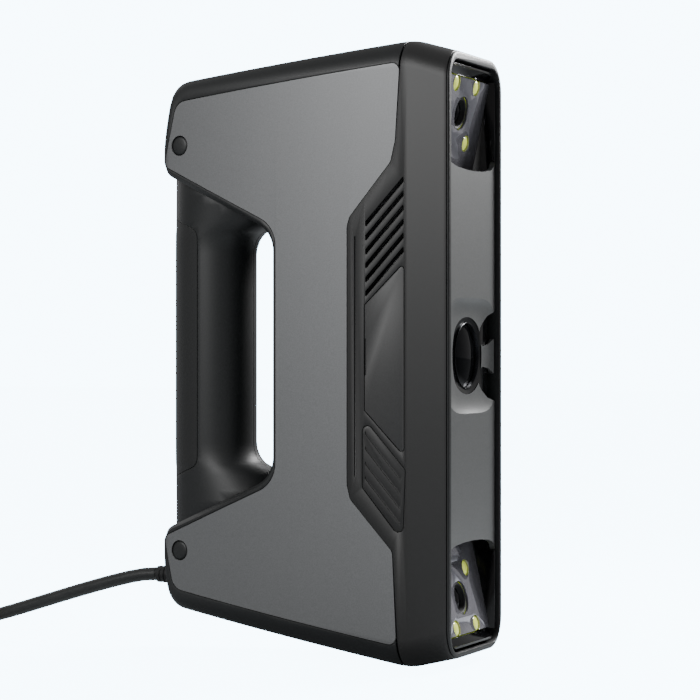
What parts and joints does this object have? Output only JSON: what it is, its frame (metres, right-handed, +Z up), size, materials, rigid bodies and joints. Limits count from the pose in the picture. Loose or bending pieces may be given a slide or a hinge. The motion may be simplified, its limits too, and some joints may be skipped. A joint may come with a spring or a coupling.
{
  "type": "handheld scanner",
  "caption": "Handheld structured-light 3-D scanner with a loop grip, angled cameras, a centre projector, push buttons and a coiled data cable.",
  "frame": {"origin": "centre of the body's footprint box, at the lowest point of the nose; the cable is left out", "axes": "+Z up along the body's height, +X the way the scanner looks, +Y to the scanner's left"},
  "size_m": [0.42, 0.0593, 0.2406],
  "materials": {
    "grey_cover": "satin metallic grey paint",
    "black_body": "fine moulded texture",
    "charcoal_housing": "smooth matt",
    "badge_grey": "satin",
    "grip_rubber": "matt soft touch",
    "gloss_black": "polished",
    "camera_plate": "half-mirror coating",
    "lens_glass": "coated",
    "led": "yellow phosphor",
    "steel": "bright turned",
    "aluminium": "machined",
    "circuit_board": "solder mask",
    "cable_jacket": "smooth jacket"
  },
  "bodies": {
    "housing": {"right_cover": "grey_cover", "left_cover": "grey_cover", "face_plate": "grey_cover", "right_shell": "black_body", "left_shell": "black_body", "front_bezel": "black_body", "right_grip_shell": "black_body", "left_grip_shell": "black_body", "right_upper_screw_cap": "black_body", "right_lower_screw_cap": "black_body", "left_upper_screw_cap": "black_body", "left_lower_screw_cap": "black_body", "upper_lens_barrel": "black_body", "lower_lens_barrel": "black_body", "projector_barrel": "black_body", "fan_frame": "black_body", "right_wing": "charcoal_housing", "left_wing": "charcoal_housing", "right_port_hatch": "charcoal_housing", "left_port_hatch": "charcoal_housing", "button_bezel": "charcoal_housing", "right_badge_plate": "badge_grey", "left_badge_plate": "badge_grey", "back_strap": "grip_rubber", "cable_gland": "grip_rubber", "coil_tie": "grip_rubber", "upper_window_liner": "gloss_black", "lower_window_liner": "gloss_black", "projector_hood": "gloss_black", "upper_camera_plate": "camera_plate", "lower_camera_plate": "camera_plate", "upper_lens_glass": "lens_glass", "lower_lens_glass": "lens_glass", "projector_lens_glass": "lens_glass", "upper_led_board": "led", "lower_led_board": "led", "upper_clamp_screw": "steel", "lower_clamp_screw": "steel", "projector_lens_ring": "steel", "usb_plug_shell": "steel", "optical_bench": "aluminium", "projector_engine": "aluminium", "projector_heatsink": "aluminium", "upper_camera_module": "aluminium", "lower_camera_module": "aluminium", "main_board": "circuit_board", "button_board": "circuit_board", "cable_run": "cable_jacket", "cable_coil": "cable_jacket", "cable_tail": "cable_jacket", "usb_plug": "cable_jacket"},
    "fan_rotor": {"fan_rotor": "charcoal_housing"},
    "start_button": {"start_button": "grip_rubber"},
    "plus_button": {"plus_button": "grip_rubber"},
    "minus_button": {"minus_button": "grip_rubber"}
  },
  "joints": [
    {"name": "fan_spin", "type": "hinge", "parent": "housing", "child": "fan_rotor", "pos_m": [0.013, 0, 0.16656], "axis": [0, 1, 0], "continuous": true},
    {"name": "start_press", "type": "slide", "parent": "housing", "child": "start_button", "axis": [0.9703, 0, -0.2419], "range_m": [0, 0.0008], "stiffness_N_per_m": 400, "springref_m": -0.0006},
    {"name": "plus_press", "type": "slide", "parent": "housing", "child": "plus_button", "axis": [0.9703, 0, -0.2419], "range_m": [0, 0.0008], "stiffness_N_per_m": 400, "springref_m": -0.0006},
    {"name": "minus_press", "type": "slide", "parent": "housing", "child": "minus_button", "axis": [0.9703, 0, -0.2419], "range_m": [0, 0.0008], "stiffness_N_per_m": 400, "springref_m": -0.0006}
  ]
}
